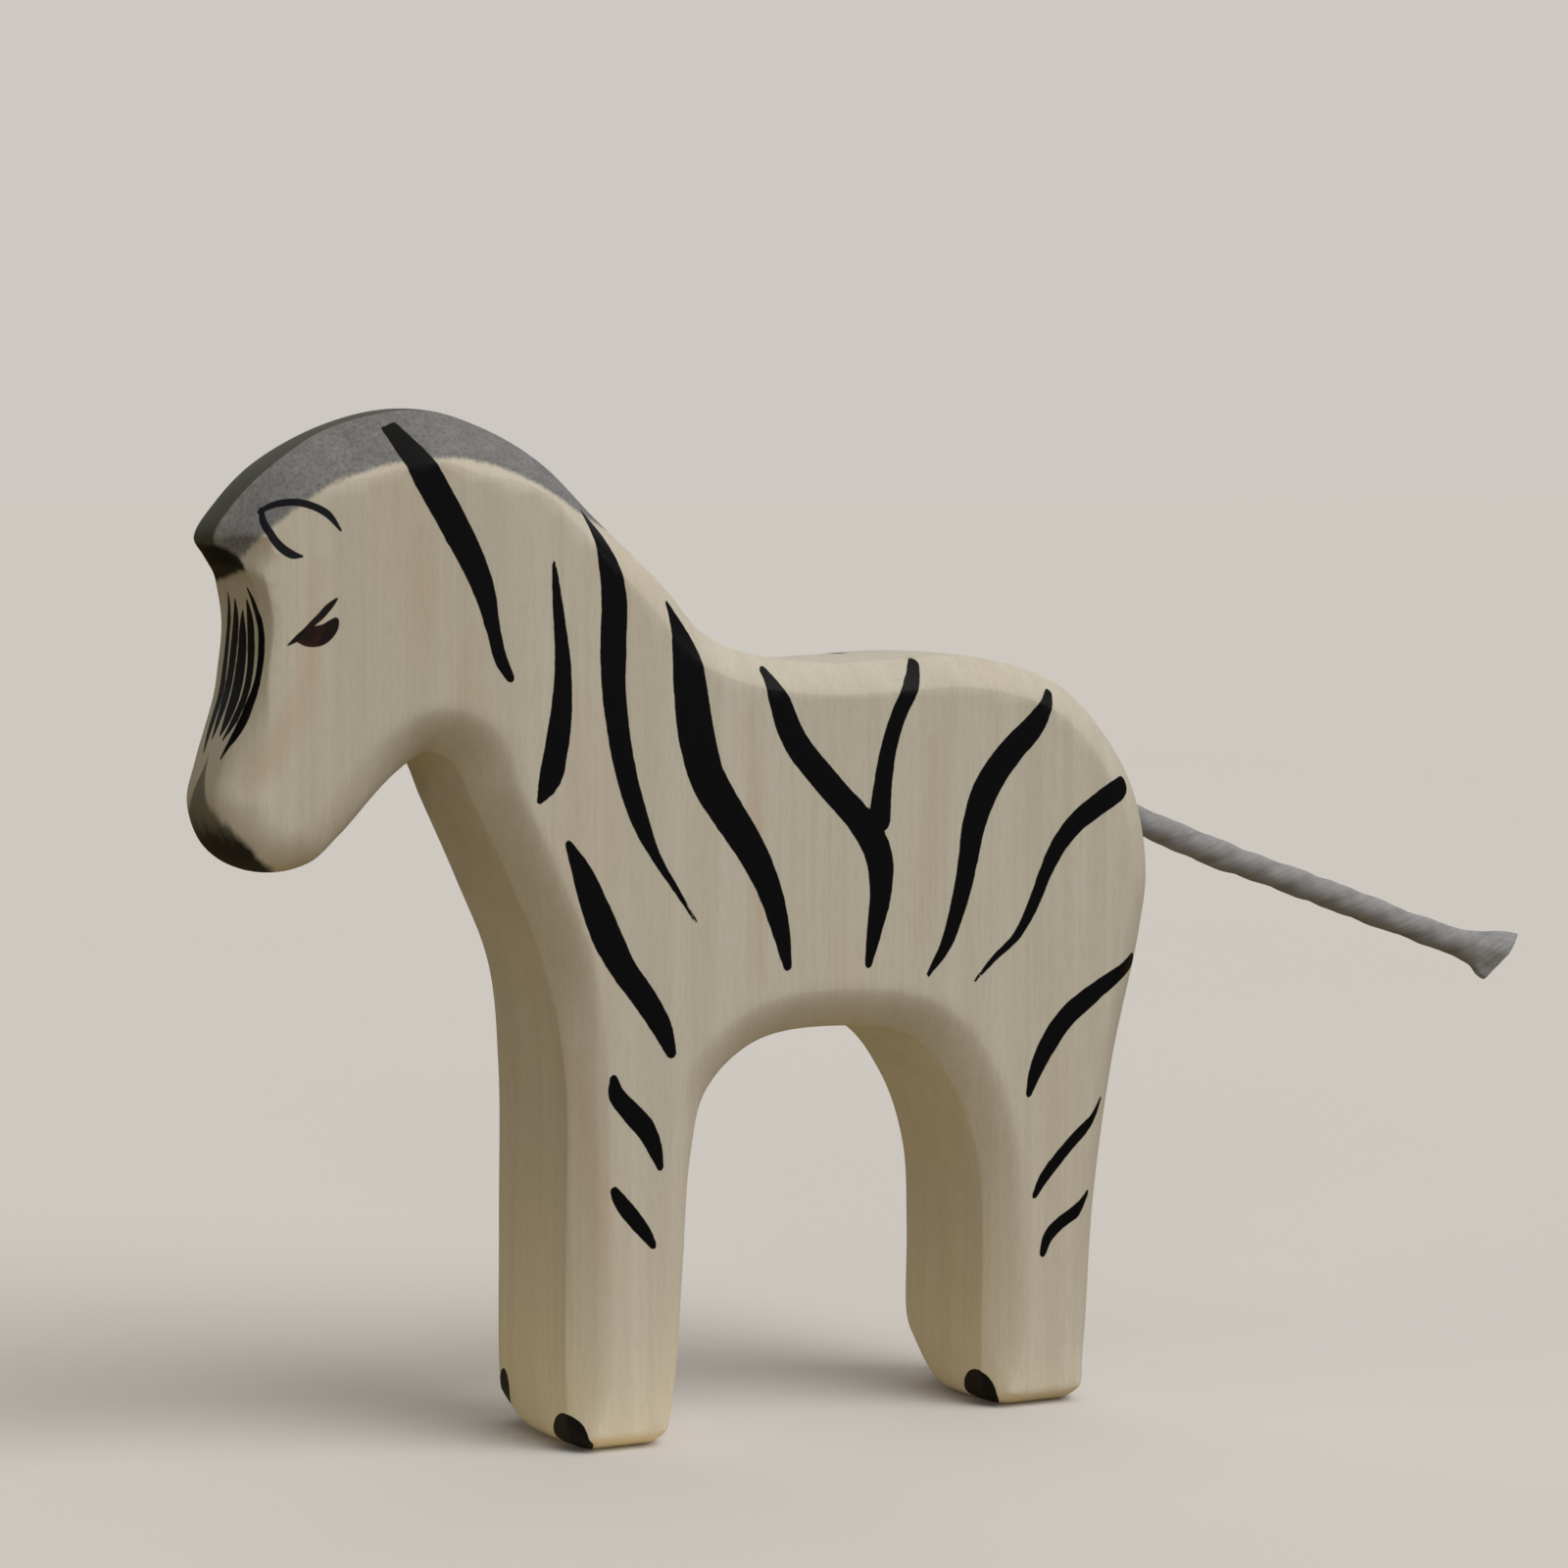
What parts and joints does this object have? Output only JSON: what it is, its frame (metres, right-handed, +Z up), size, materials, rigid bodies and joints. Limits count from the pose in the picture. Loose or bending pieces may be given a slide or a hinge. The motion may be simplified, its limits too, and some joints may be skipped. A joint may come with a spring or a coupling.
{
  "type": "zebra figurine",
  "caption": "Standing zebra cut from one painted hardwood board, with a stiff tail of twisted cotton cord; a shelf ornament that rests on its feet.",
  "frame": {"origin": "on the ground, below the middle of the wooden body's length and of its thickness", "axes": "+Z up; X along the body with the head towards -X and the tail towards +X; Y across the board, through its thickness"},
  "size_m": [0.1955, 0.0272, 0.13],
  "materials": {
    "painted_wood": "bare-toned wood with black painted stripes, satin",
    "cotton_cord": "matte grey twisted cotton"
  },
  "bodies": {
    "root": {"body": "painted_wood", "tail_cord": "cotton_cord"}
  },
  "joints": []
}
